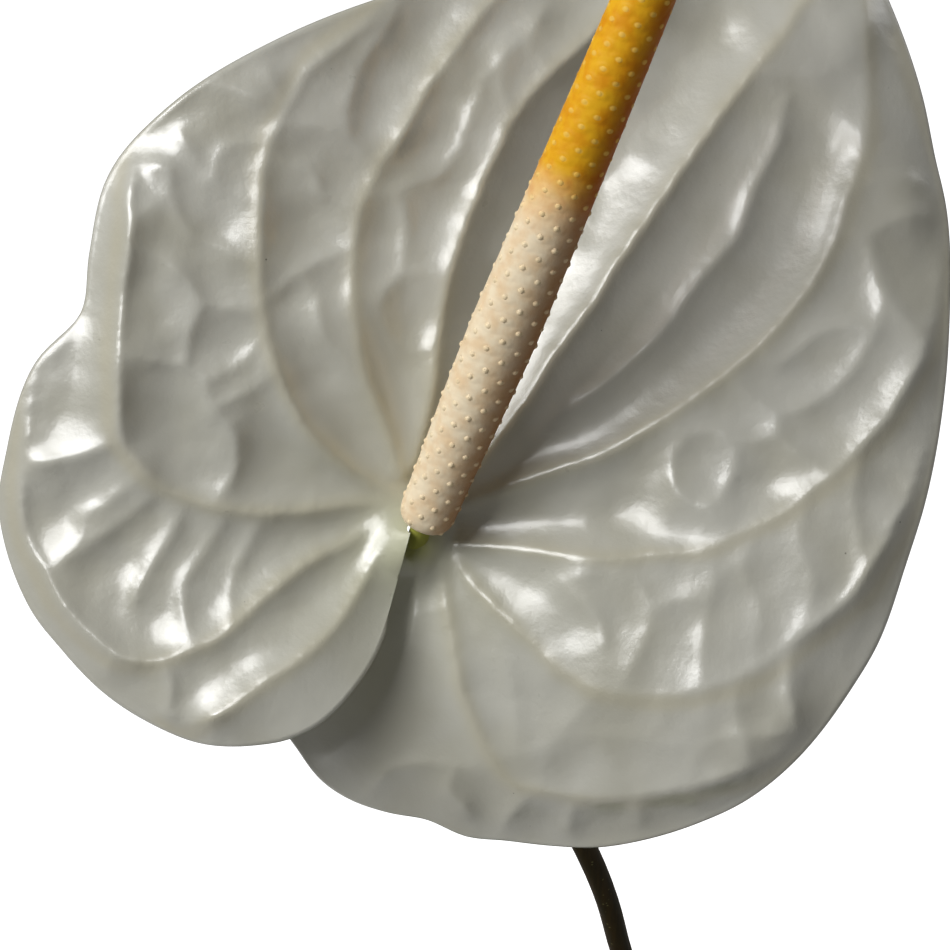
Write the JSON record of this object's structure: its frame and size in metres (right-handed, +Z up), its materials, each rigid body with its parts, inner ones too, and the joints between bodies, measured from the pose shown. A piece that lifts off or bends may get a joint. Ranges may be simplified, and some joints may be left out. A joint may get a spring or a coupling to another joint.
{
  "type": "potted anthurium",
  "caption": "Potted anthurium: a white heart-shaped bloom with a cream and orange spadix above glossy heart-shaped leaves, in a plain tapered clay pot.",
  "frame": {"origin": "centre of the pot's underside", "axes": "+Z up; the bloom's face turns up and towards -Y, which is the front; +X is the viewer's right"},
  "size_m": [0.2738, 0.2447, 0.527],
  "materials": {
    "clay": "matte",
    "potting_mix": "matte",
    "crown_bark": "matte",
    "leaf_green": "gloss",
    "stem_green": "satin",
    "young_green": "satin",
    "spathe_white": "gloss",
    "spadix_cream": "satin",
    "sheath_brown": "matte",
    "root_tan": "matte"
  },
  "bodies": {
    "root": {"aerial_root_1": "root_tan", "aerial_root_2": "root_tan", "aerial_root_3": "root_tan", "crown": "crown_bark", "flower_stem": "stem_green", "leaf_blade_1": "leaf_green", "leaf_blade_2": "leaf_green", "leaf_blade_3": "leaf_green", "leaf_blade_4": "leaf_green", "leaf_blade_5": "leaf_green", "leaf_blade_6": "leaf_green", "leaf_stem_1": "stem_green", "leaf_stem_2": "stem_green", "leaf_stem_3": "stem_green", "leaf_stem_4": "stem_green", "leaf_stem_5": "stem_green", "leaf_stem_6": "stem_green", "pot": "clay", "potting_mix": "potting_mix", "sheath_1": "sheath_brown", "sheath_2": "sheath_brown", "sheath_3": "sheath_brown", "sheath_4": "sheath_brown", "spadix": "spadix_cream", "spathe": "spathe_white", "young_leaf_roll": "young_green", "young_leaf_stem": "young_green"}
  },
  "joints": []
}
